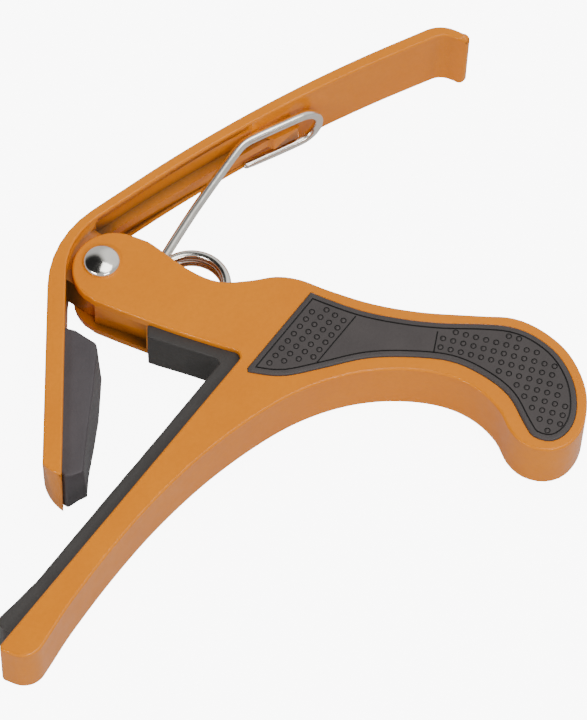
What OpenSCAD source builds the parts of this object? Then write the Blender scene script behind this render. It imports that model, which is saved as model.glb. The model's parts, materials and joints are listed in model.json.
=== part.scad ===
// Spring-loaded trigger capo for a guitar, lying on its side.
// +X runs along the fretboard bar towards the pivot, +Y out of the string pad, +Z along the pivot axis.
// Outlines are drawn around the pivot axis and the mid plane, then moved so that the origin is
// the centre of the bounding box on the surface that the capo lies on.

/* [Casting] */
// Thickness of the bar, cheeks and handle across the pivot axis
body_t = 10; // [9.6:0.1:10.6]
// Thickness of each fork cheek
cheek_t = 1.5; // [1.3:0.05:1.6]
// Thickness of the web that closes the jaw side of the fork
web_t = 1.3; // [1.2:0.1:2]
// Set-back of that web between the cheeks
web_recess = 1; // [0.8:0.1:1.2]
// Depth of the channel that the string pad sits in
pad_channel = 0.6; // [0.4:0.1:1]
// Depth of each grip pocket
grip_pocket = 1.6; // [1.2:0.1:1.8]

/* [Lever] */
// Width of the lever across the pivot axis
lever_w = 12; // [11.6:0.1:12.6]
// Width of each side rim
rim_w = 1.3; // [1:0.1:1.5]
// Thickness of the central rib
rib_w = 1.8; // [1.4:0.1:2.4]
// Thickness of the lug that the spring hooks over
lug_w = 2.8; // [1.8:0.1:3.2]
// Outer radius of the hub between the cheeks
hub_r = 4.75; // [4:0.05:4.8]

/* [Pivot rivet] */
// Diameter of the shank
shank_d = 4; // [3:0.1:4.6]
// Diameter of the domed head
head_d = 5.6; // [5:0.1:6.4]
// Height of the straight rim of the head
head_rim = 0.5; // [0.3:0.1:0.7]
// Height of the dome above that rim
head_dome = 0.8; // [0.5:0.1:0.9]
// Radial running clearance between the shank and the hub
pivot_clearance = 0.06; // [0.02:0.01:0.1]

/* [Spring] */
// Diameter of the wire
wire_d = 1.5; // [1.4:0.05:1.55]
// Mean radius of the coil
coil_r = 5.5; // [5.3:0.1:5.6]
// Gap between neighbouring turns
turn_gap = 0.1; // [0.08:0.01:0.12]
// Half the distance between the two wires of the hook
hook_half = 3.45; // [3.2:0.05:3.5]

/* [Rubber] */
// Width of the string pad
string_pad_w = 8; // [6:0.1:8.4]
// Width of the neck pad
neck_pad_w = 9.2; // [8:0.1:9.3]
// How far each grip stands proud of the casting
grip_proud = 0.25; // [0.1:0.05:0.4]

/* [Hidden] */
paint = "darkorange";
rubber = "#2b2b2d";
nickel = "silver";

// Place of the pivot axis and the mid plane in the finished frame
origin_shift = [-3.05, 33.85, lever_w / 2];

// Longest straight piece of a drawn curve, largest turn of one, and full-circle resolution
curve_step = 1.3;
turn_step = 10;
round_fn = 64;
// Flats around the swept wire
wire_sides = 12;
// Gap between a rubber piece and the wall beside it, and overshoot of a cut
fit_gap = 0.05;
over = 1;

slot_w = body_t - 2 * cheek_t;
wire_r = wire_d / 2;
turn_pitch = wire_d + turn_gap;

// ---- curves -------------------------------------------------------------------------------

function unit(v) = v / norm(v);
function flat(lists) = [for (list = lists, item = list) item];

// Arc that rounds corner b, between neighbours a and c, with radius r
function corner_arc(a, b, c, r) =
    let (u = unit(a - b), w = unit(c - b))
    let (half = acos(max(-1, min(1, u * w))) / 2)
    let (centre = b + unit(u + w) * r / sin(half), reach = r / tan(half))
    let (p = b + u * reach - centre, q = b + w * reach - centre)
    let (first = atan2(p.y, p.x), turn = ((atan2(q.y, q.x) - first + 540) % 360) - 180)
    let (count = ceil(max(abs(turn) / turn_step, abs(turn) * PI / 180 * r / (2 * curve_step))))
    [for (i = [0:count]) centre + r * [cos(first + turn * i / count), sin(first + turn * i / count)]];

// Closed outline from corners [x, y, radius]; a radius of 0 leaves the corner sharp
function rounded(corners) =
    let (n = len(corners))
    flat([for (i = [0:n - 1])
        let (a = corners[(i + n - 1) % n], b = corners[i], c = corners[(i + 1) % n])
        b[2] == 0 ? [[b.x, b.y]] : corner_arc([a.x, a.y], [b.x, b.y], [c.x, c.y], b[2])]);

// Smooth curve through points, from the second to the last but one, with the end points as guides
function span(p0, p1, p2, p3, t) =
    let (a = (p2 - p0) / 2, b = (p3 - p1) / 2)
    p1 * (2 * pow(t, 3) - 3 * pow(t, 2) + 1) + a * (pow(t, 3) - 2 * pow(t, 2) + t)
    + p2 * (3 * pow(t, 2) - 2 * pow(t, 3)) + b * (pow(t, 3) - pow(t, 2));
function smooth(points) =
    flat([for (i = [1:len(points) - 3])
        let (count = ceil(norm(points[i + 1] - points[i]) / curve_step))
        [for (k = [0:count - 1]) span(points[i - 1], points[i], points[i + 1], points[i + 2], k / count)]]);

// ---- outlines around the pivot axis --------------------------------------------------------

// Jaw side of the fork, a straight line from its round end down to the corner with the bar
jaw_top = [-6.05, -3.2];
jaw_corner = [0, -26.65];
jaw_dir = unit(jaw_top - jaw_corner);
jaw_out = [jaw_dir.y, -jaw_dir.x] * -1;
bar_top = jaw_corner.y;
// Rise of the jaw side above that line in its middle
jaw_rise = 0.4;
// Distance from the corner to the free end of the web
web_length = 24.7;

// Round end of the cheeks
cheek_centre = [0.3, -2.2];
cheek_r = 6.4;
cheek_end = [for (a = [170:-turn_step:10]) cheek_centre + cheek_r * [cos(a), sin(a)]];

// Back of the fork, shoulder and outer side of the handle, its end, and the underside of the bar
back_curve = smooth([[6.4, 0.5], [7.15, -3.4], [6.8, -11.3], [7.75, -16.2], [10.6, -19.8], [13.6, -22.7],
    [15.3, -26], [16.3, -30.5], [18.25, -37.1], [21.35, -43.8], [25.95, -51.2], [28.7, -55.7],
    [29.45, -60.6], [28.4, -66], [24.95, -71.1], [20.2, -74.1], [15.9, -74.45], [12.95, -72.6],
    [11.65, -69.4], [12.2, -66.2], [14.25, -62.7], [15.2, -58.6], [14.8, -54.2], [12.85, -49.5],
    [9.3, -44.5], [4.6, -40.2], [-1.5, -36.6],
    [-9, -33.9], [-18, -31.8], [-28, -30.6], [-38, -30.35], [-48, -30.75], [-54, -31.4], [-56.5, -31.75]]);
bar_end = rounded([[-54, -31.4, 0], [-59.4, -32, 3.4], [-60.6, bar_top, 0.8], [-57, bar_top, 0]]);
jaw_corner_r = 1.2;
jaw_side = [for (s = [0.15:0.1:0.95])
    jaw_corner + (jaw_top - jaw_corner) * s + jaw_out * 4 * jaw_rise * s * (1 - s)];
body_outline = concat([jaw_top], cheek_end, back_curve, bar_end,
    corner_arc([-57, bar_top], jaw_corner, jaw_side[0], jaw_corner_r), jaw_side);

// Grip on each face of the handle
grip_curve = smooth([[14.1, -27], [14.4, -29.5], [16.1, -36.5], [18.6, -42.4], [21.45, -47.5],
    [24.85, -52.45], [27, -56.2], [27.8, -60], [27.2, -64.6], [24.7, -69], [21, -72.05], [17.5, -73.05],
    [14.6, -72.1], [13.5, -69.4], [14.6, -66.9], [17.05, -62.5], [17.65, -57.6], [16.85, -52.35],
    [14, -47.15],
    [9.9, -41.9], [4.5, -37.45], [0.45, -34], [-1.65, -30.9], [-2.4, -29.3]]);
grip_top = -28.55;
grip_outline = concat([[14.3, grip_top]], grip_curve, [[-2.3, -29.4], [-2.45, -28.95], [-2, grip_top]]);

// Side of the lever: outer line from the jaw end over the elbow to the curled finger end, then back
lever_side = rounded([[-34.4, -14.92, 0], [-1.8, 8.6, 17], [37.4, -2.4, 240], [65.7, -16.9, 5],
    [66.45, -22.1, 0.6], [65.2, -22.35, 0.4], [64.35, -18.4, 3.2], [37.4, -4.25, 238], [-0.05, 6.5, 12],
    [-33.4, -17.72, 0.6]]);
// The jaw end is rounded to a cylinder that leans: its centre on the far face and on the near face
tip_round = 7.45;
tip_far = [-25.5, -17.5];
tip_near = [-25.9, -15.7];
finger_tip = [66.45, -22.35];

// Coil of the spring, wound clockwise towards +Z from its left side; angles are counted from there
coil_centre = [6.35, -11.95];
coil_left = coil_centre.x - coil_r;
pocket_r = coil_r + wire_r + 0.45;
leg_turn = 442;
leg_z = slot_w / 2 - wire_r - 0.2;
moving_z = leg_z - turn_pitch * leg_turn / 360;
// The fixed turn stops short of the moving one and stays below it over the whole travel of the arm
fixed_turn = 350;
travel_drop = turn_pitch * 60 / 360;
fixed_z = moving_z - turn_pitch - travel_drop;
tail_end = -21;

// Hook that slides along the lug of the lever
hook_turn = [39.8, -8.4];
hook_start = [32.4, -4.84];
hook_dir = unit(hook_turn - hook_start);
hook_free = hook_turn - 10 * hook_dir;
// Leg from the coil to the bend and on to the hook
leg_curve = [[11, -5.73, leg_z + 0.1], [17.1, -4.95, leg_z + 0.2], [25, -4.4, leg_z + 0.5],
    [29.4, -4.1, hook_half - 0.15], [30.5, -4.2, hook_half - 0.07], [31.4, -4.45, hook_half - 0.02],
    concat(hook_start, hook_half)];

// Faces of the string pad
string_face = -24.35;
string_tip_rise = 0.85;
channel_y = bar_top - pad_channel;
wall_foot = jaw_corner - jaw_out * pad_channel;
wall_corner = wall_foot - jaw_dir * (wall_foot.y - channel_y) / jaw_dir.y;
wall_length = 15.6;
pad_corner_r = 1.4;
wall_top = wall_corner + jaw_dir * wall_length;
string_pad_side = concat([[-56.9, channel_y], [-57.3, -25.2], [-56.7, string_face + string_tip_rise],
    [-48.5, string_face], [-3.3, string_face], [-2.85, -23.5], [-5.95, -13], [-4.35, -11.8], wall_top],
    corner_arc(wall_top, wall_corner, [-57, channel_y], pad_corner_r));
channel_side = concat([[-57.35, channel_y]],
    corner_arc([-57, channel_y], wall_corner, wall_top, pad_corner_r),
    [wall_corner + jaw_dir * (wall_length + 0.1), wall_corner + jaw_dir * (wall_length + 0.1) + jaw_out * 3,
    jaw_corner + [-8, 5], [-57.35, bar_top + 5]]);

// Faces of the neck pad
seat_line = [[-31.8, -15.1], [-12.2, -0.95]];
neck_pad_side = [seat_line[0], seat_line[1], [-12.1, -2.4], [-11.55, -3.9], [-11.45, -7.85], [-12.1, -8.65],
    [-18.5, -12.7], [-30.2, -19.2], [-31.6, -18.3], [-32.4, -17.5]];

// ---- helpers ---------------------------------------------------------------------------------

module place() {
    translate(origin_shift) children();
}

module slab(width, outline) {
    linear_extrude(width, center = true) polygon(outline);
}

module pin(d, z0, z1) {
    translate([0, 0, z0]) cylinder(d = d, h = z1 - z0, $fn = round_fn);
}

// Wire swept through stations [centre, side vector]
module tube(stations) {
    n = len(stations);
    function centre(i) = stations[max(0, min(n - 1, i))][0];
    rings = [for (i = [0:n - 1])
        let (along = unit(centre(i + 1) - centre(i - 1)), up = unit(cross(along, stations[i][1])))
        [for (k = [0:wire_sides - 1])
            let (a = k * 360 / wire_sides)
            centre(i) + wire_r * (cos(a) * cross(up, along) + sin(a) * up)]];
    walls = [for (i = [0:n - 2], k = [0:wire_sides - 1])
        let (a = i * wire_sides, b = a + wire_sides, k2 = (k + 1) % wire_sides)
        each [[a + k, a + k2, b + k2], [a + k, b + k2, b + k]]];
    last = (n - 1) * wire_sides;
    caps = [for (k = [1:wire_sides - 2]) each [[0, k + 1, k], [last, last + k, last + k + 1]]];
    polyhedron(flat(rings), concat(walls, caps), convexity = 6);
}

// Stations along the coil from its left side at height z, turning clockwise up to the given angle
function turns(z, angle) =
    let (count = ceil(angle / turn_step))
    [for (i = [0:count])
        let (c = angle * i / count, out = [-cos(c), sin(c), 0])
        [[coil_centre.x, coil_centre.y, z + turn_pitch * c / 360] + coil_r * out, out]];

// ---- casting -----------------------------------------------------------------------------------

// Space between the cheeks, open at the round end and at the back
module fork_slot() {
    web_top = jaw_corner + jaw_dir * web_length;
    inner_top = web_top - jaw_out * (web_recess + web_t);
    inner_low = jaw_corner + jaw_dir * 14.2 - jaw_out * (web_recess + web_t);
    slab(slot_w, [inner_low, inner_top, web_top + jaw_out * over, [-12, web_top.y + over], [-12, 12],
        [16, 12], [16, coil_centre.y], coil_centre, coil_centre - [pocket_r - 0.2, 0]]);
    translate([coil_centre.x, coil_centre.y, 0])
        cylinder(r = pocket_r, h = slot_w, center = true, $fn = round_fn);
    cylinder(r = hub_r + 0.3, h = slot_w, center = true, $fn = round_fn);
}

// Set-back of the web between the cheeks, from the string pad to its free end
module web_front() {
    low = jaw_corner + jaw_dir * wall_length;
    high = jaw_corner + jaw_dir * (web_length + over);
    inner = jaw_out * web_recess;
    outer = jaw_out * 2;
    slab(slot_w, [low - inner, high - inner, high + outer, low + outer]);
}

module grip_pockets() {
    for (side = [-1, 1])
        translate([0, 0, side * (body_t - grip_pocket + over) / 2]) slab(grip_pocket + over, grip_outline);
}

// Blind hole below the coil that holds the tail of the spring
module tail_hole() {
    depth = coil_centre.y - tail_end + 0.3;
    translate([coil_left, coil_centre.y, fixed_z])
        rotate([90, 0, 0]) cylinder(d = wire_d + 2 * fit_gap, h = depth, $fn = round_fn);
}

module body_frame() {
    color(paint) place() difference() {
        slab(body_t, body_outline);
        fork_slot();
        web_front();
        grip_pockets();
        tail_hole();
        slab(string_pad_w + 2 * fit_gap, channel_side);
        pin(shank_d + 2 * fit_gap, -body_t, body_t);
    }
}

// ---- lever ---------------------------------------------------------------------------------------

hub_w = slot_w - 0.6;
hub_side = concat([[hub_r, 5.9], [-hub_r, 5.2]], [for (a = [180:turn_step:360]) hub_r * [cos(a), sin(a)]]);
rib_side = [[2, 6.2], [28.5, -1.2], [36, -4.2], [35.5, -6.45], [34.6, -5.95], [24, -2.05], [9, 3], [2, 4.5]];
lug_side = rounded([[34.6, -4, 0], [40.4, -6.6, 0], [39.4, -8.75, 0.4], [35.2, -6.9, 0.4]]);

// One of the two grooves beside the rib, parallel to the outer line of the lever
module groove() {
    inner = lever_w / 2 - rim_w;
    groove_side = rounded([[5.2, 5.5, 0], [37.4, -3.5, 240], [44.2, -7.5, 0], [42.2, -10, 0], [24, -6, 0],
        [5.2, 1, 0]]);
    translate([0, 0, rib_w / 2]) linear_extrude(inner - rib_w / 2) polygon(groove_side);
}

// Seat of the neck pad between the rims of the lower arm
module pad_seat() {
    slab(lever_w - 2 * rim_w, [seat_line[0], seat_line[1], seat_line[1] + [3, -2.2], seat_line[0] + [1, -6],
        seat_line[0] + [-0.6, -2]]);
}

// Part of the jaw end outside the leaning cylinder that rounds it
module tip_cut() {
    lean = tip_near - tip_far;
    reach = 4;
    translate([tip_far.x, tip_far.y, -lever_w / 2])
        rotate([-atan(lean.y / lever_w), atan(lean.x / lever_w), 0])
            difference() {
                translate([-tip_round - 5, -reach, -reach]) cube([7.5, 11, lever_w + 2 * reach]);
                translate([0, 0, -2 * reach])
                    cylinder(r = tip_round, h = lever_w + 4 * reach, $fn = round_fn);
            }
}

// Wedge that rounds one corner of a plate end; x and y point out of the corner
module corner_cut(r, h) {
    translate([-r, -r, -h / 2]) difference() {
        cube([r + over, r + over, h]);
        translate([0, 0, -over]) cylinder(r = r, h = h + 2 * over, $fn = round_fn);
    }
}

module finger_corners() {
    finger_r = 1.6;
    for (side = [0, 1]) mirror([0, 0, side])
        translate([finger_tip.x - 1, finger_tip.y, lever_w / 2])
            rotate([0, 90, 0]) rotate([0, 0, 180]) corner_cut(finger_r, 6);
}

module lever() {
    color(paint) place() difference() {
        union() {
            difference() {
                slab(lever_w, lever_side);
                groove();
                mirror([0, 0, 1]) groove();
            }
            slab(hub_w, hub_side);
            slab(rib_w, rib_side);
            slab(lug_w, lug_side);
        }
        pad_seat();
        pin(shank_d + 2 * pivot_clearance, -lever_w, lever_w);
        tip_cut();
        finger_corners();
    }
}

// ---- rivet -----------------------------------------------------------------------------------------

module pivot_rivet() {
    face = body_t / 2;
    head_r = head_d / 2;
    dome_r = (pow(head_r, 2) + pow(head_dome, 2)) / (2 * head_dome);
    tail_r = head_r - 0.4;
    tail_h = 0.7;
    color(nickel) place() {
        pin(shank_d, -face, face);
        pin(head_d, face, face + head_rim);
        intersection() {
            translate([0, 0, face + head_rim + head_dome - dome_r]) sphere(r = dome_r, $fn = round_fn);
            pin(head_d, face + head_rim, face + head_rim + head_dome + over);
        }
        translate([0, 0, -face - tail_h])
            cylinder(r1 = tail_r - 0.5, r2 = tail_r, h = tail_h, $fn = round_fn);
    }
}

// ---- spring ------------------------------------------------------------------------------------------

// Tail and the turn that stays with the casting
module spring_coil() {
    tail = [for (y = [tail_end, coil_centre.y - 1]) [[coil_left, y, fixed_z], [-1, 0, 0]]];
    color(nickel) place() tube(concat(tail, turns(fixed_z, fixed_turn)));
}

// Moving turns, leg, wire along the near side of the lug, U-turn and wire along its far side
module spring_arm() {
    hook_side = [-hook_dir.y, hook_dir.x, 0];
    leg = [for (i = [0:len(leg_curve) - 1])
        let (run = leg_curve[min(i + 1, len(leg_curve) - 1)] - leg_curve[max(i - 1, 0)])
        [leg_curve[i], unit([-run.y, run.x, 0])]];
    hook = [for (a = [0:15:180])
        [concat(hook_turn + hook_half * sin(a) * hook_dir, hook_half * cos(a)), hook_side]];
    free_end = [[concat(hook_free, -hook_half), hook_side]];
    color(nickel) place() tube(concat(turns(moving_z, leg_turn), leg, hook, free_end));
}

// ---- rubber --------------------------------------------------------------------------------------------

module string_pad() {
    color(rubber) place() slab(string_pad_w, string_pad_side);
}

module neck_pad() {
    color(rubber) place() slab(neck_pad_w, neck_pad_side);
}

module grip(side) {
    thick = grip_pocket + grip_proud;
    centre = side * (body_t / 2 + grip_proud - thick / 2);
    color(rubber) place() translate([0, 0, centre]) slab(thick, grip_outline);
}

module grip_inlay_near() {
    grip(1);
}

module grip_inlay_far() {
    grip(-1);
}

body_frame();
lever();
pivot_rivet();
spring_coil();
spring_arm();
string_pad();
neck_pad();
grip_inlay_near();
grip_inlay_far();
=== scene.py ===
"""Looks of the spring-loaded trigger capo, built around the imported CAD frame.

Metres, in the row frame: +X along the bar towards the pivot, +Y out of the string pad, +Z up from the table.
"""
import json
import math

import bmesh
import bpy
from mathutils import Matrix, Vector, geometry, noise


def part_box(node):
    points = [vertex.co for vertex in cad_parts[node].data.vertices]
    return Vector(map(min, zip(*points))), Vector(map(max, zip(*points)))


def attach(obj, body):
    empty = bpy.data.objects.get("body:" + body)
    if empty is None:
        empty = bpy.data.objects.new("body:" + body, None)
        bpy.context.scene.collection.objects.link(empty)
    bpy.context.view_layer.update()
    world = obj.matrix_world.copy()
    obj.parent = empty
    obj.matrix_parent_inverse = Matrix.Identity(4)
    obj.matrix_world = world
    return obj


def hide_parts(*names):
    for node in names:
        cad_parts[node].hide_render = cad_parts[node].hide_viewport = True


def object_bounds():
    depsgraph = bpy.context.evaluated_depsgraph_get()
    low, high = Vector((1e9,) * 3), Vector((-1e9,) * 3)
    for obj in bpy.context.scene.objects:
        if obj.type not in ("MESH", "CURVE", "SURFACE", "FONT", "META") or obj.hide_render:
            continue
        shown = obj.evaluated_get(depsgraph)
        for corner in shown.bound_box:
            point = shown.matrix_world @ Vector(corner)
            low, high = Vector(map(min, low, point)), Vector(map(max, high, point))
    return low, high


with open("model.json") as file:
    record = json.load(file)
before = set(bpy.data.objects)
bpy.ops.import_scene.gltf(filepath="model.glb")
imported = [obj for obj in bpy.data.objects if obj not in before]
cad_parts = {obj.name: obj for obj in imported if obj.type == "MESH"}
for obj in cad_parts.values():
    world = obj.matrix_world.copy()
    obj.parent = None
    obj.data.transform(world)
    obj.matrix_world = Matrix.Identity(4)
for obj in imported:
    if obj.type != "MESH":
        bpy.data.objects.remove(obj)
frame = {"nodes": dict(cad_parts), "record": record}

MM = 0.001
cad_low, cad_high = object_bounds()
JOINTS = {j["name"]: j for j in frame["record"]["behaviour"]["joints"]}
PIVOT = Vector(JOINTS["lever_pivot"]["pos_m"])


# ---- materials -------------------------------------------------------------------------------

class Nodes:
    """A material's node tree, with short calls for the nodes that repeat."""

    def __init__(self, name):
        self.material = bpy.data.materials.new(name)
        self.material.use_nodes = True
        self.tree = self.material.node_tree
        self.shader = self.tree.nodes["Principled BSDF"]
        self.place = self.tree.nodes.new("ShaderNodeTexCoord").outputs["Object"]

    def link(self, source, target):
        self.tree.links.new(source, target)
        return target

    def noise(self, size, detail=3.0, rough=0.55):
        """Noise with features of about that size in metres, from 0 to 1."""
        node = self.tree.nodes.new("ShaderNodeTexNoise")
        node.inputs["Scale"].default_value = 1 / size
        node.inputs["Detail"].default_value = detail
        node.inputs["Roughness"].default_value = rough
        self.link(self.place, node.inputs["Vector"])
        return node.outputs["Fac"]

    def cells(self, size):
        """Distance to the nearest point of a scatter with that spacing in metres."""
        node = self.tree.nodes.new("ShaderNodeTexVoronoi")
        node.inputs["Scale"].default_value = 1 / size
        self.link(self.place, node.inputs["Vector"])
        return node.outputs["Distance"]

    def spread(self, value, low, high, to_low, to_high):
        node = self.tree.nodes.new("ShaderNodeMapRange")
        limits = {"From Min": low, "From Max": high, "To Min": to_low, "To Max": to_high}
        for key, number in limits.items():
            node.inputs[key].default_value = number
        self.link(value, node.inputs["Value"])
        return node.outputs["Result"]

    def mix(self, share, a, b):
        """Colour a turned into b by share; a, b and share are sockets or values."""
        node = self.tree.nodes.new("ShaderNodeMix")
        node.data_type = "RGBA"
        for key, item in (("Factor_Float", share), ("A_Color", a), ("B_Color", b)):
            socket = next(s for s in node.inputs if s.identifier == key)
            if isinstance(item, bpy.types.NodeSocket):
                self.link(item, socket)
            elif key == "Factor_Float":
                socket.default_value = item
            else:
                socket.default_value = (*item, 1)
        return next(s for s in node.outputs if s.identifier == "Result_Color")

    def hollow_shade(self, reach, low, high):
        """1 in the open falling to 0 deep inside slots; used to darken the colour there as painted shade."""
        node = self.tree.nodes.new("ShaderNodeAmbientOcclusion")
        node.inputs["Distance"].default_value = reach
        node.samples = 8
        node.only_local = True
        return self.spread(node.outputs["AO"], low, high, 0, 1)

    def bump(self, height, depth, strength=1.0, under=None):
        node = self.tree.nodes.new("ShaderNodeBump")
        node.inputs["Distance"].default_value = depth
        node.inputs["Strength"].default_value = strength
        self.link(height, node.inputs["Height"])
        if under is not None:
            self.link(under, node.inputs["Normal"])
        return node.outputs["Normal"]

    def set(self, **values):
        for key, value in values.items():
            socket = self.shader.inputs[key.replace("_", " ")]
            if isinstance(value, bpy.types.NodeSocket):
                self.link(value, socket)
            elif isinstance(value, tuple):
                socket.default_value = (*value, 1)
            else:
                socket.default_value = value
        return self.material


def paint_material():
    """Satin orange stove enamel over a die casting: faint orange peel, soft mottling, fine speckle, and
    painted shade darkening the slots and hollows.
    """
    n = Nodes("orange_enamel")
    broad = n.noise(11 * MM, detail=3)
    fine = n.noise(0.6 * MM, detail=4, rough=0.6)
    speck = n.spread(n.cells(1.1 * MM), 0.0, 0.10, 1, 0)
    colour = n.mix(n.spread(broad, 0.35, 0.65, 0, 1), (0.85, 0.248, 0.001), (0.89, 0.270, 0.002))
    colour = n.mix(n.spread(fine, 0.35, 0.75, 0, 0.35), colour, (0.72, 0.195, 0.001))
    colour = n.mix(n.spread(speck, 0, 1, 0, 0.25), colour, (0.95, 0.42, 0.05))
    # Painted shade: the colour darkens to deep brown inside slots and recesses, where little light reaches.
    colour = n.mix(n.hollow_shade(4 * MM, 0.45, 0.98), (0.20, 0.090, 0.025), colour)
    peel = n.bump(n.noise(1.4 * MM, detail=2), 0.03 * MM, 0.35)
    grain = n.bump(fine, 0.008 * MM, 0.5, peel)
    rough = n.spread(n.noise(3 * MM, detail=4), 0.3, 0.7, 0.30, 0.42)
    return n.set(Base_Color=colour, Roughness=rough, Normal=grain, IOR=1.5, Specular_IOR_Level=0.1,
                 Coat_Weight=0.5, Coat_Roughness=0.12)


def rubber_material(name, dark, light, grain_size, gloss):
    """Moulded rubber: fine matt grain, bloom in faint patches, and painted shade darkening its grooves and
    hollows.
    """
    n = Nodes(name)
    patches = n.noise(6 * MM, detail=5, rough=0.6)
    fine = n.noise(grain_size, detail=5, rough=0.65)
    pores = n.spread(n.cells(grain_size * 2.2), 0.0, 0.5, 0, 1)
    colour = n.mix(n.spread(patches, 0.3, 0.7, 0, 1), dark, light)
    colour = n.mix(n.spread(fine, 0.35, 0.75, 0, 0.25), colour, tuple(1.45 * c for c in light))
    # Painted shade: the colour darkens to near black in grooves, gaps and hollows.
    colour = n.mix(n.hollow_shade(0.9 * MM, 0.35, 0.9), (0.010, 0.009, 0.009), colour)
    under = n.bump(pores, 0.03 * MM, 0.35)
    skin = n.bump(fine, 0.025 * MM, 0.5, under)
    rough = n.spread(fine, 0.3, 0.7, gloss - 0.06, gloss + 0.1)
    return n.set(Base_Color=colour, Roughness=rough, Normal=skin, IOR=1.48,
                 Sheen_Weight=0.06, Sheen_Roughness=0.5)


def nickel_material(name, roughness):
    """Bright nickel plate with faint drawing marks and a few dull specks."""
    n = Nodes(name)
    marks = n.noise(0.5 * MM, detail=5, rough=0.7)
    stain = n.noise(2.5 * MM, detail=4)
    colour = n.mix(n.spread(stain, 0.35, 0.7, 0, 1), (0.95, 0.925, 0.86), (0.84, 0.81, 0.74))
    rough = n.spread(marks, 0.3, 0.75, roughness, roughness + 0.10)
    return n.set(Base_Color=colour, Metallic=1.0, Roughness=rough, Normal=n.bump(marks, 0.004 * MM, 0.5))


PAINT = paint_material()
GRIP_RUBBER = rubber_material("moulded_grip_rubber", (0.050, 0.042, 0.041), (0.064, 0.054, 0.052),
                              0.35 * MM, 0.52)
STRING_RUBBER = rubber_material("string_pad_rubber", (0.034, 0.031, 0.029), (0.048, 0.044, 0.040),
                                0.28 * MM, 0.50)
NECK_RUBBER = rubber_material("neck_pad_rubber", (0.056, 0.049, 0.053), (0.074, 0.064, 0.069),
                              0.30 * MM, 0.55)
SPRING_NICKEL = nickel_material("drawn_nickel_wire", 0.16)
RIVET_NICKEL = nickel_material("domed_rivet_nickel", 0.10)


# ---- mesh work -------------------------------------------------------------------------------

def cad_mesh(node, weld=0.001 * MM):
    """The welded mesh of a CAD node, flat areas merged to single faces."""
    bm = bmesh.new()
    bm.from_mesh(frame["nodes"][node].data)
    bmesh.ops.remove_doubles(bm, verts=bm.verts, dist=weld)
    bmesh.ops.dissolve_limit(bm, angle_limit=math.radians(0.6), verts=bm.verts, edges=bm.edges)
    bm.normal_update()
    return bm


def sharp(edge, degrees=40):
    """Whether the faces beside the edge turn by more than that."""
    return len(edge.link_faces) == 2 and edge.calc_face_angle(0) > math.radians(degrees)


def on_level(edge, *levels):
    """Whether the edge lies at one of these heights."""
    return any(all(abs(v.co.z - z) < 0.02 * MM for v in edge.verts) for z in levels)


def round_edges(bm, edges, width, steps=3):
    """Rounds these edges to about that width and welds what meets."""
    bmesh.ops.bevel(bm, geom=edges, offset=width, offset_type="OFFSET", segments=steps, profile=0.5,
                    affect="EDGES", clamp_overlap=False, loop_slide=True)
    bmesh.ops.remove_doubles(bm, verts=bm.verts, dist=0.004 * MM)
    bm.normal_update()


def add_piece(name, bm, node, body, material, smooth_degrees=32, even_normals=True):
    """Turns bm into the piece that stands for a CAD node and rides with its body."""
    mesh = bpy.data.meshes.new(name)
    bmesh.ops.recalc_face_normals(bm, faces=bm.faces)
    bm.to_mesh(mesh)
    bm.free()
    mesh.shade_smooth()
    mesh.set_sharp_from_angle(angle=math.radians(smooth_degrees))
    piece = bpy.data.objects.new(name, mesh)
    bpy.context.scene.collection.objects.link(piece)
    mesh.materials.append(material)
    if even_normals:
        weighted = piece.modifiers.new("even_normals", "WEIGHTED_NORMAL")
        weighted.keep_sharp = True
        weighted.weight = 80
    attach(piece, body)
    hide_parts(node)
    return piece


def make_casting():
    """Bar, fork and handle: outer rims are rounded more than the lips of the grip pockets."""
    bm = cad_mesh("body_frame", weld=0.2 * MM)
    low, high = (p.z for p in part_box("body_frame"))
    pocket_floors = [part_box("grip_inlay_near")[0].z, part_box("grip_inlay_far")[1].z]

    def lip(edge):
        heights = {v.co.z for f in edge.link_faces for v in f.verts}
        return any(abs(z - floor) < 0.02 * MM for z in heights for floor in pocket_floors)

    def near_bore(edge):
        return all((v.co.xy - PIVOT.xy).length < 3 * MM for v in edge.verts)

    rims = [e for e in bm.edges if on_level(e, low, high) and sharp(e) and not near_bore(e)]
    outer = [e for e in rims if not lip(e)]
    round_edges(bm, outer, 0.36 * MM)
    pocket = [e for e in bm.edges if on_level(e, low, high) and sharp(e) and not near_bore(e) and lip(e)]
    round_edges(bm, pocket, 0.15 * MM, 2)
    return add_piece("handle_and_bar", bm, "body_frame", "frame", PAINT)


def make_lever():
    """Lever casting; short edges at its acute tip are merged first, so that the rounding can't fold over."""
    bm = cad_mesh("lever", weld=0.2 * MM)
    low, high = (p.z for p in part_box("lever"))
    tip_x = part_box("lever")[0].x + 3.5 * MM
    bmesh.ops.remove_doubles(bm, verts=[v for v in bm.verts if v.co.x < tip_x], dist=0.42 * MM)
    bm.normal_update()
    outer = [e for e in bm.edges if on_level(e, low, high) and sharp(e)]
    round_edges(bm, outer, 0.3 * MM)
    return add_piece("trigger_lever", bm, "lever", "lever", PAINT)


def make_spring(name, node, body):
    """The CAD wire with its flats smoothed away; it is grown first by what smoothing takes off."""
    flats = 12
    bm = cad_mesh(node)
    bmesh.ops.triangulate(bm, faces=[f for f in bm.faces if len(f.verts) > 4])
    bmesh.ops.join_triangles(bm, faces=bm.faces, angle_face_threshold=math.radians(30),
                             angle_shape_threshold=math.radians(60))
    wire_r = 0.75 * MM
    kept = (3 + math.cos(2 * math.pi / flats)) / 4
    bm.normal_update()
    for v in bm.verts:
        v.co += v.normal * wire_r * (1 / kept - 1)
    piece = add_piece(name, bm, node, body, SPRING_NICKEL, 60, even_normals=False)
    rounding = piece.modifiers.new("rounding", "SUBSURF")
    rounding.levels = rounding.render_levels = 1
    return piece


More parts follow.
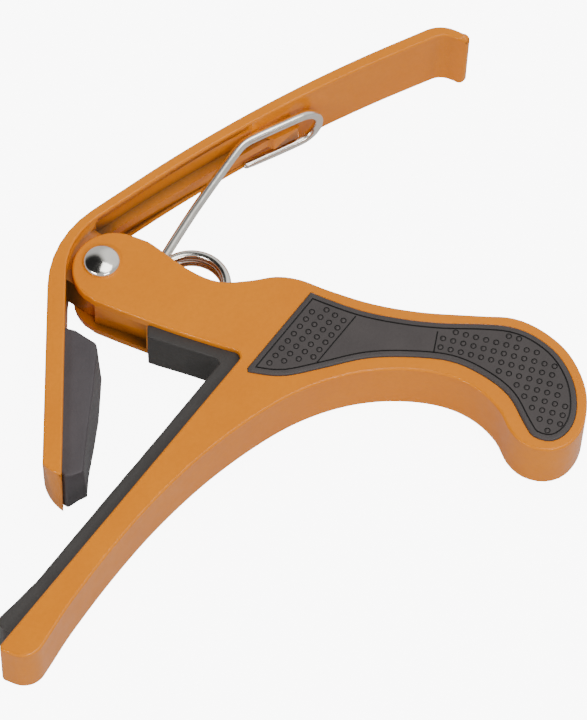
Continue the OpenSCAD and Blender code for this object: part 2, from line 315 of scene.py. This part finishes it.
def lathe(profile, axis_point, steps=64):
    """Closed solid turned around a vertical axis from (radius, z) points, the first and last on the axis."""
    bm = bmesh.new()
    rings = []
    for radius, z in profile:
        if radius == 0:
            rings.append([bm.verts.new((axis_point.x, axis_point.y, z))])
        else:
            turns = [2 * math.pi * k / steps for k in range(steps)]
            rings.append([bm.verts.new((axis_point.x + radius * math.cos(a),
                                        axis_point.y + radius * math.sin(a), z)) for a in turns])
    for one, two in zip(rings, rings[1:]):
        for k in range(steps):
            after = k + 1
            corners = [one[k % len(one)], one[after % len(one)], two[after % len(two)], two[k % len(two)]]
            bm.faces.new(list(dict.fromkeys(corners)))
    return bm


def make_rivet():
    """Domed head over the near cheek, shank, and a rolled tail with a hollow on the far side."""
    low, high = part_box("pivot_rivet")
    face_low, face_high = (p.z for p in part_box("body_frame"))
    head_r = (high.x - low.x) / 2
    rim = face_high + 0.5 * MM
    dome_h = high.z - rim
    dome_r = (head_r ** 2 + dome_h ** 2) / (2 * dome_h)
    dome = [(dome_r * math.sin(a), high.z - dome_r * (1 - math.cos(a)))
            for a in (math.asin(head_r / dome_r) * k / 12 for k in range(12))]
    dome[0] = (0, high.z)
    edge = [(head_r - 0.10 * MM, rim - 0.02 * MM), (head_r - 0.02 * MM, rim - 0.10 * MM),
            (head_r, rim - 0.22 * MM), (head_r - 0.03 * MM, face_high + 0.04 * MM),
            (head_r - 0.12 * MM, face_high)]
    shank_r = 2 * MM
    shank = [(shank_r, face_high - 0.02 * MM), (shank_r, face_low + 0.02 * MM)]
    tail_r = head_r - 0.4 * MM
    tail = [(tail_r - 0.05 * MM, face_low), (tail_r, face_low - 0.12 * MM)]
    # Inwards from the tail's rim and up from its lowest point
    rolled = [(0.15, 0.18), (0.45, 0.03), (0.75, 0), (1.0, 0.08), (1.15, 0.35), (1.3, 1.2)]
    tail += [(tail_r - inwards * MM, low.z + up * MM) for inwards, up in rolled]
    tail.append((0, low.z + 1.35 * MM))
    bm = lathe(dome + edge + shank + tail, PIVOT)
    return add_piece("pivot_rivet_head", bm, "pivot_rivet", "frame", RIVET_NICKEL, 50)


# ---- grips -----------------------------------------------------------------------------------

DOT_PITCH = 1.56 * MM
DOT_HOLE_R = 0.48 * MM
# Places on the handle, measured from the pivot axis
UPPER_DOTS = PIVOT.xy + Vector((13.06, -30.72)) * MM
LOWER_DOTS = PIVOT.xy + Vector((17.84, -49.73)) * MM
LOWER_TURN = math.radians(-70)
UPPER_DIVIDER = [PIVOT.xy + Vector(p) * MM for p in ((4.85, -36.38), (14.75, -36.45))]
LOWER_DIVIDER = [PIVOT.xy + Vector(p) * MM for p in ((16.5, -49.42), (19.84, -47.85))]


def cap_loop(node, level, spacing=0.5 * MM):
    """Outline of a CAD node's flat cap at that height, anticlockwise, as evenly spaced 2D points."""
    bm = cad_mesh(node)
    caps = [f for f in bm.faces if all(abs(v.co.z - level) < 0.01 * MM for v in f.verts)]
    loop = [v.co.xy.copy() for v in max(caps, key=lambda f: f.calc_area()).verts]
    bm.free()
    twice_area = sum(a.x * b.y - b.x * a.y for a, b in zip(loop, loop[1:] + loop[:1]))
    if twice_area < 0:
        loop.reverse()
    even = []
    for a, b in zip(loop, loop[1:] + loop[:1]):
        count = max(1, math.ceil((b - a).length / spacing))
        even += [a.lerp(b, k / count) for k in range(count)]
    return even


def inside(point, loop):
    """Whether the point is within the closed loop, by counting crossings to its right."""
    hit = False
    for a, b in zip(loop, loop[1:] + loop[:1]):
        crosses = (a.y > point.y) != (b.y > point.y)
        if crosses and point.x < (b.x - a.x) * (point.y - a.y) / (b.y - a.y) + a.x:
            hit = not hit
    return hit


def distance_to(point, loop):
    """Shortest distance from the point to the closed loop."""
    best = math.inf
    for a, b in zip(loop, loop[1:] + loop[:1]):
        t = max(0.0, min(1.0, (point - a).dot(b - a) / max(1e-12, (b - a).length_squared)))
        best = min(best, (point - a - (b - a) * t).length)
    return best


def inset(loop, depth):
    """The loop moved inwards; where a corner would turn inside out, points gather on a neighbour."""
    count = len(loop)
    moved = []
    for i, p in enumerate(loop):
        a, c = loop[i - 1], loop[(i + 1) % count]
        n1 = Vector((-(p - a).y, (p - a).x)).normalized()
        n2 = Vector((-(c - p).y, (c - p).x)).normalized()
        n = (n1 + n2).normalized()
        moved.append(p + n * depth / max(0.35, n.dot(n1)))
    good = [inside(p, loop) and distance_to(p, loop) > depth * 0.97 for p in moved]
    for i in range(count):
        if not good[i]:
            step = next(s for s in range(1, count) if good[i - s] or good[(i + s) % count])
            moved[i] = (moved[i - step] if good[i - step] else moved[(i + step) % count]).copy()
    return moved


def ring(bm, loop, z):
    """Mesh points on the loop at that height."""
    return [bm.verts.new((p.x, p.y, z)) for p in loop]


def bridge(bm, one, two):
    """Band of faces between two rings of as many points."""
    count = len(one)
    for i in range(count):
        j = (i + 1) % count
        bm.faces.new([one[i], one[j], two[j], two[i]])


def circle(centre, radius, sides=14):
    turns = [2 * math.pi * k / sides for k in range(sides)]
    return [centre + radius * Vector((math.cos(a), math.sin(a))) for a in turns]


def dot_places(field):
    """Centres of both lattices: upright above the upper divider, turned below the lower one."""
    across, down = Vector((DOT_PITCH, 0)), Vector((0, -DOT_PITCH))
    places = [UPPER_DOTS + across * c + down * r for c in range(-14, 2) for r in range(-1, 4)]
    turn = Matrix.Rotation(LOWER_TURN, 2)
    lower = [LOWER_DOTS + turn @ (across * c + down * r) for c in range(-1, 15) for r in range(-4, 8)]
    rise = (LOWER_DIVIDER[1] - LOWER_DIVIDER[0]).normalized()
    away = Vector((rise.y, -rise.x))
    places += [p for p in lower if (p - LOWER_DIVIDER[0]).dot(away) > 0.5 * MM]
    return [p for p in places if inside(p, field) and distance_to(p, field) > 0.5 * MM]


def add_dot(bm, centre, z, up):
    """A raised dot that stands in a sunk ring; its outer circle is the hole left in the field."""
    profile = [(0.45, -0.16), (0.38, -0.16), (0.33, 0.00), (0.24, 0.09), (0.12, 0.13)]
    rings = [ring(bm, circle(centre, DOT_HOLE_R), z)]
    rings += [ring(bm, circle(centre, r * MM), z + up * h * MM) for r, h in profile]
    for one, two in zip(rings, rings[1:]):
        bridge(bm, one, two)
    top = bm.verts.new((centre.x, centre.y, z + up * 0.14 * MM))
    last = rings[-1]
    for k, v in enumerate(last):
        bm.faces.new([v, last[(k + 1) % len(last)], top])


def add_trench(bm, line, z, up, half=0.12 * MM, depth=0.2 * MM):
    """A V groove along a straight line; returns its outline, which is the hole left in the field."""
    start, end = line
    side = Vector((-(end - start).y, (end - start).x)).normalized() * half
    corners = [start - side, end - side, end + side, start + side]
    a, b, c, d = ring(bm, corners, z)
    m, n = ring(bm, [start, end], z - up * depth)
    for face in ([a, b, n, m], [m, n, c, d], [b, c, n], [d, a, m]):
        bm.faces.new(face)
    return corners


def fill_field(bm, outline, holes, z):
    """Flat triangles between the outline and the holes."""
    loops = [[p for i, p in enumerate(outline) if (p - outline[i - 1]).length > 0.003 * MM]] + holes
    points, edges = [], []
    for loop in loops:
        first = len(points)
        points += [Vector((p.x, p.y)) for p in loop]
        edges += [(first + k, first + (k + 1) % len(loop)) for k in range(len(loop))]
    made, _, faces, *_ = geometry.delaunay_2d_cdt(points, edges, [], 0, 1e-7)
    corners = ring(bm, made, z)
    for face in faces:
        middle = sum((made[k] for k in face), Vector((0, 0))) / 3
        if inside(middle, loops[0]) and not any(inside(middle, h) for h in holes):
            bm.faces.new([corners[k] for k in face])


def make_grip(name, node, up):
    """Moulded grip: rounded rim, border, groove line, and fields of raised dots at both ends."""
    low, high = (p.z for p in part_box(node))
    face, back = (high, low) if up > 0 else (low, high)
    outline = cap_loop(node, face)
    border, groove = 0.82 * MM, 0.24 * MM
    steps = [(0, back), (0, face - up * 0.30 * MM), (0.05 * MM, face - up * 0.12 * MM),
             (0.14 * MM, face - up * 0.03 * MM), (0.28 * MM, face), (border, face),
             (border + 0.06 * MM, face - up * groove), (border + 0.17 * MM, face - up * groove),
             (border + 0.25 * MM, face - up * 0.02 * MM)]
    bm = bmesh.new()
    loops = [inset(outline, d) if d else outline for d, z in steps]
    rings = [ring(bm, loop, z) for loop, (d, z) in zip(loops, steps)]
    for one, two in zip(rings, rings[1:]):
        bridge(bm, one, two)
    bm.faces.new(rings[0])
    field, level = loops[-1], steps[-1][1]
    holes = [add_trench(bm, line, level, up) for line in (UPPER_DIVIDER, LOWER_DIVIDER)]
    for centre in dot_places(field):
        add_dot(bm, centre, level, up)
        holes.append(circle(centre, DOT_HOLE_R))
    fill_field(bm, field, holes, level)
    bmesh.ops.remove_doubles(bm, verts=bm.verts, dist=0.002 * MM)
    bmesh.ops.dissolve_degenerate(bm, edges=bm.edges, dist=0.001 * MM)
    return add_piece(name, bm, node, "frame", GRIP_RUBBER, 35)


# ---- pads --------------------------------------------------------------------------------------

def lean_face(bm, node):
    """Hollows the face that meets the neck along its near edge and twists the end at the lever's tip."""
    low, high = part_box(node)
    seat_start, seat_end = NECK_SEAT
    along = (seat_end - seat_start).normalized()
    out = Vector((along.y, -along.x))
    length = (seat_end - seat_start).length
    for v in bm.verts:
        spot = v.co.xy - seat_start
        share = max(0.0, min(1.0, spot.dot(along) / length))
        depth = max(0.0, min(1.0, (spot.dot(out) - 0.5 * MM) / (2 * MM)))
        near = (v.co.z - low.z) / (high.z - low.z)
        v.co.xy += out * depth * math.sin(math.pi * share) ** 0.7 * (0.34 - 0.74 * near) * MM
        across = max(0.0, min(1.0, spot.dot(out) / (3.2 * MM)))
        twist = (1 - near) * max(0.0, 1 - spot.dot(along) / (2.5 * MM))
        v.co.xy += twist * (along * (1.3 * across - 0.9) + out * 0.35 * across) * MM


NECK_SEAT = [PIVOT.xy + Vector(p) * MM for p in ((-31.8, -15.1), (-12.2, -0.95))]


def on_seat(edge, start, end):
    """Whether the edge lies on the upright plane through those two places."""
    side = Vector((-(end - start).y, (end - start).x)).normalized()
    return all(abs((v.co.xy - start).dot(side)) < 0.15 * MM for v in edge.verts)


def make_pad(name, node, body, material, radius, wobble, seed, shape=None, seat=None):
    """Rubber block with rounded edges and the slight unevenness of a cut and moulded face."""
    bm = cad_mesh(node)
    outer = [e for e in bm.edges if sharp(e, 12) and e.is_convex]
    round_edges(bm, [e for e in outer if not (seat and on_seat(e, *seat))], radius)
    longest = 1.6 * MM
    for _ in range(5):
        long_edges = [e for e in bm.edges if e.calc_length() > longest]
        if not long_edges:
            break
        bmesh.ops.subdivide_edges(bm, edges=long_edges, cuts=1, use_grid_fill=True)
        bmesh.ops.triangulate(bm, faces=[f for f in bm.faces if len(f.verts) > 4])
    if shape:
        shape(bm, node)
    bm.normal_update()
    shift = Vector((seed, seed * 0.37, 0))
    for v in bm.verts:
        broad, fine = noise.noise(v.co / (2.4 * MM) + shift), noise.noise(v.co / (0.7 * MM))
        v.co += v.normal * wobble * (broad + 0.4 * fine)
    return add_piece(name, bm, node, body, material, 60)


make_casting()
make_lever()
make_spring("spring_fixed_turn", "spring_coil", "frame")
make_spring("spring_leg_and_hook", "spring_arm", "spring_arm")
make_rivet()
make_grip("grip_upper_face", "grip_inlay_near", 1)
make_grip("grip_lower_face", "grip_inlay_far", -1)
make_pad("string_pad_rubber", "string_pad", "frame", STRING_RUBBER,
         0.22 * MM, 0.05 * MM, 1.7)
make_pad("neck_pad_rubber", "neck_pad", "lever", NECK_RUBBER,
         0.3 * MM, 0.05 * MM, 5.1, lean_face, NECK_SEAT)


# ---- stage, lights and camera --------------------------------------------------------------------

def make_floor():
    """White table that shines to the camera only, so that it reads as white without flooding the capo."""
    n = Nodes("white_table")
    soft = n.noise(90 * MM, detail=2)
    colour = n.mix(n.spread(soft, 0.3, 0.7, 0, 1), (0.48, 0.48, 0.48), (0.53, 0.53, 0.53))
    n.set(Base_Color=colour, Roughness=0.9)
    seen = n.tree.nodes.new("ShaderNodeLightPath").outputs["Is Camera Ray"]
    n.set(Emission_Strength=n.spread(seen, 0, 1, 0.06, 8.5))
    n.shader.inputs["Emission Color"].default_value = (1, 1, 1, 1)
    mesh = bpy.data.meshes.new("floor")
    reach = 3.0
    z = cad_low.z
    corners = [(-reach, -reach, z), (reach, -reach, z), (reach, reach, z), (-reach, reach, z)]
    mesh.from_pydata(corners, [], [(0, 1, 2, 3)])
    mesh.materials.append(n.material)
    floor = bpy.data.objects.new("floor", mesh)
    bpy.context.scene.collection.objects.link(floor)


def direction(azimuth, elevation):
    """Unit vector from the object towards a place seen at that azimuth and elevation, in degrees."""
    a, e = math.radians(azimuth), math.radians(elevation)
    return Vector((math.sin(a) * math.cos(e), -math.cos(a) * math.cos(e), math.sin(e)))


def softbox(name, azimuth, elevation, distance, size, power):
    """Rectangular lamp of that size in metres and power in watts, facing the capo."""
    light = bpy.data.lights.new(name, "AREA")
    light.shape = "RECTANGLE"
    light.size, light.size_y = size
    light.energy = power
    box = bpy.data.objects.new(name, light)
    box.location = centre + direction(azimuth, elevation) * distance
    box.rotation_euler = (centre - box.location).to_track_quat("-Z", "Y").to_euler()
    bpy.context.scene.collection.objects.link(box)


def make_world(tent, lobes):
    """A white tent; each lobe is (direction, cosine where it starts, cosine where it is full, change)."""
    world = bpy.data.worlds.new("studio")
    world.use_nodes = True
    tree = world.node_tree
    place = tree.nodes.new("ShaderNodeTexCoord").outputs["Generated"]
    strength = tree.nodes["Background"].inputs["Strength"]
    for side, start, full, change in lobes:
        toward = tree.nodes.new("ShaderNodeVectorMath")
        toward.operation = "DOT_PRODUCT"
        toward.inputs[1].default_value = side
        tree.links.new(place, toward.inputs[0])
        shade = tree.nodes.new("ShaderNodeMapRange")
        shade.interpolation_type = "SMOOTHSTEP"
        for key, number in (("From Min", start), ("From Max", full), ("To Min", 0), ("To Max", change)):
            shade.inputs[key].default_value = number
        tree.links.new(toward.outputs["Value"], shade.inputs["Value"])
        total = tree.nodes.new("ShaderNodeMath")
        tree.links.new(shade.outputs["Result"], total.inputs[0])
        tree.links.new(total.outputs["Value"], strength)
        total.inputs[1].default_value = tent
        strength = total.inputs[1]
    tree.nodes["Background"].inputs["Color"].default_value = (1, 1, 1, 1)
    bpy.context.scene.world = world


def make_camera():
    """Long lens, steeply down on the capo, with the slight roll of the view."""
    azimuth, elevation, roll, range_m = -56.66, 60.0, -2.48, 0.623
    aim = centre + Vector((2.86, 2.27, -0.65)) * MM
    back = direction(azimuth, elevation)
    right = Vector((math.cos(math.radians(azimuth)), math.sin(math.radians(azimuth)), 0))
    up = back.cross(right)
    c, s = math.cos(math.radians(roll)), math.sin(math.radians(roll))
    turned_right, turned_up = right * c - up * s, right * s + up * c
    lens = bpy.data.cameras.new("view")
    lens.sensor_width = 36
    lens.lens = 207.2
    lens.clip_start, lens.clip_end = 0.01, 20
    view = bpy.data.objects.new("view", lens)
    spot = aim + back * range_m
    view.matrix_world = Matrix((
        (turned_right.x, turned_up.x, back.x, spot.x),
        (turned_right.y, turned_up.y, back.y, spot.y),
        (turned_right.z, turned_up.z, back.z, spot.z),
        (0, 0, 0, 1)))
    bpy.context.scene.collection.objects.link(view)
    bpy.context.scene.camera = view


centre = (cad_low + cad_high) / 2
CAMERA_SIDE = -56.66
make_floor()
make_world(0.58, [(direction(CAMERA_SIDE - 98, 60), 0.66, 0.88, -0.56),
                  (direction(CAMERA_SIDE + 140, 38), 0.72, 0.92, 0.4)])
softbox("top", CAMERA_SIDE + 75, 76, 0.9, (0.5, 0.5), 3.4)
softbox("front_left", CAMERA_SIDE - 42, 36, 1.1, (0.45, 0.12), 3.6)
softbox("front_right", CAMERA_SIDE + 30, 36, 1.1, (0.45, 0.12), 2.8)
make_camera()
